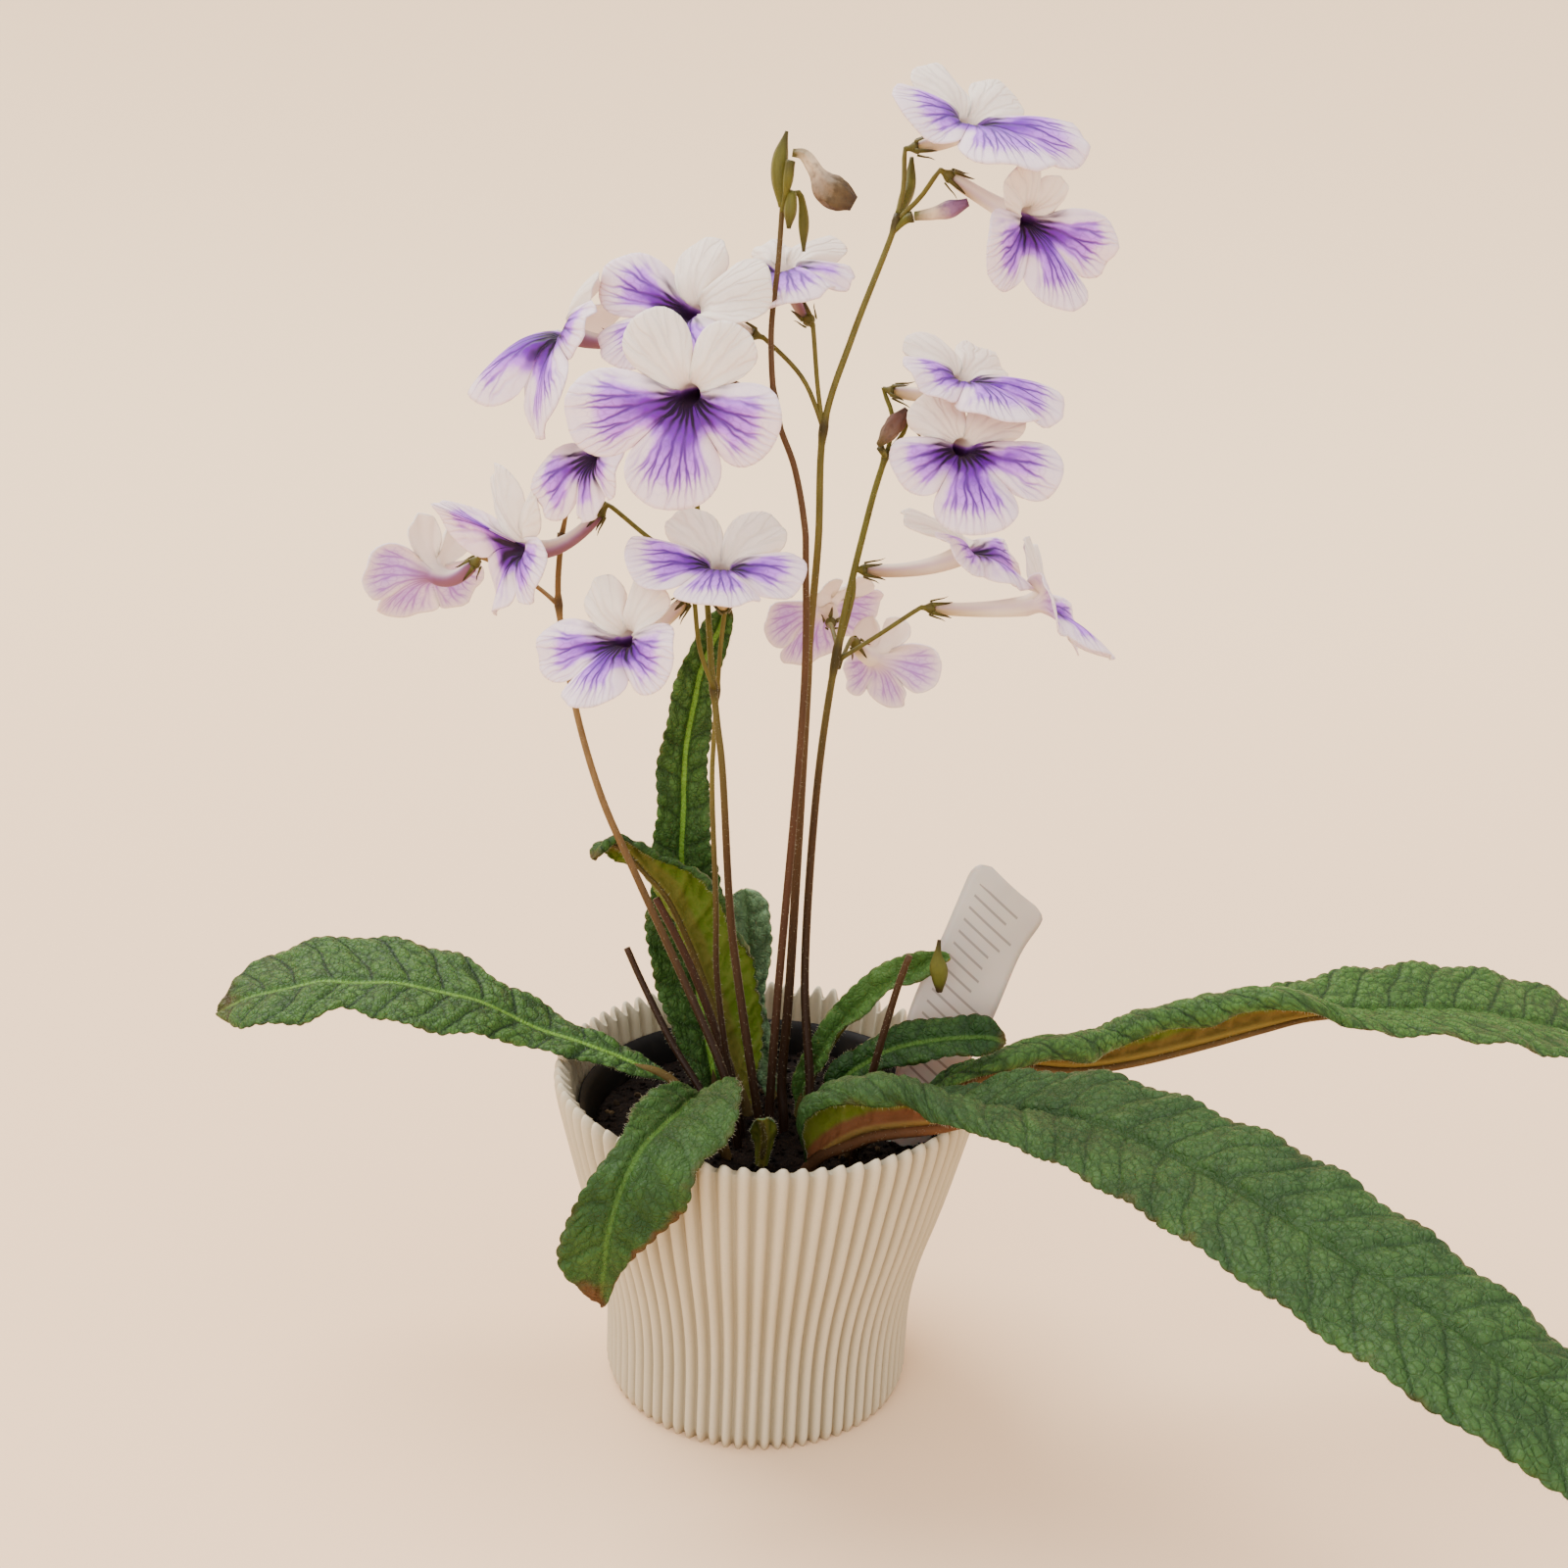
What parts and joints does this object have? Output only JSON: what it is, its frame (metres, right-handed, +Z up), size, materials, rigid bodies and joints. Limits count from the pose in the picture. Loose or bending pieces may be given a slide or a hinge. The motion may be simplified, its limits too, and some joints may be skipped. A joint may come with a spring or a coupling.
{
  "type": "potted cape primrose",
  "caption": "Cape primrose in a ribbed cream cover pot: quilted strap leaves and pale lilac five-lobed flowers on thin stems.",
  "frame": {"origin": "centre of the pot's base on the surface it stands on", "axes": "+Z up out of the pot, +X to the viewer's right along the longest leaf, +Y away from the viewer"},
  "size_m": [0.4195, 0.2341, 0.3553],
  "materials": {
    "glazed_clay": "matte",
    "black_plastic": "satin",
    "soil": "matte, crumbled",
    "tag": "satin, translucent",
    "leaf": "matte, hairy, quilted",
    "stem": "matte, hairy",
    "petal": "matte",
    "bud": "matte",
    "bud_purple": "matte",
    "withered": "matte"
  },
  "bodies": {
    "root": {"bud_fallen": "bud", "bud_purple": "bud_purple", "bud_withered": "withered", "flower_back_a": "petal", "flower_back_b": "petal", "flower_high": "petal", "flower_left_a": "petal", "flower_left_b": "petal", "flower_left_c": "petal", "flower_low_a": "petal", "flower_low_b": "petal", "flower_mid_a": "petal", "flower_mid_b": "petal", "flower_mid_c": "petal", "flower_near_a": "petal", "flower_near_b": "petal", "flower_right_a": "petal", "flower_right_b": "petal", "flower_top_a": "petal", "flower_top_b": "petal", "flower_withered": "withered", "inner_pot": "black_plastic", "leaf_back": "leaf", "leaf_curled": "leaf", "leaf_front": "leaf", "leaf_left": "leaf", "leaf_right_back": "leaf", "leaf_right_front": "leaf", "leaf_small": "leaf", "leaf_tall": "leaf", "leaf_upright": "leaf", "pot": "glazed_clay", "soil": "soil", "stem_left": "stem", "stem_mid": "stem", "stem_near_a": "stem", "stem_near_b": "stem", "stem_red": "stem", "stem_right": "stem", "stem_stub_left": "stem", "stem_stub_right": "stem", "stem_top": "stem", "tag": "tag", "young_leaf": "leaf"}
  },
  "joints": []
}
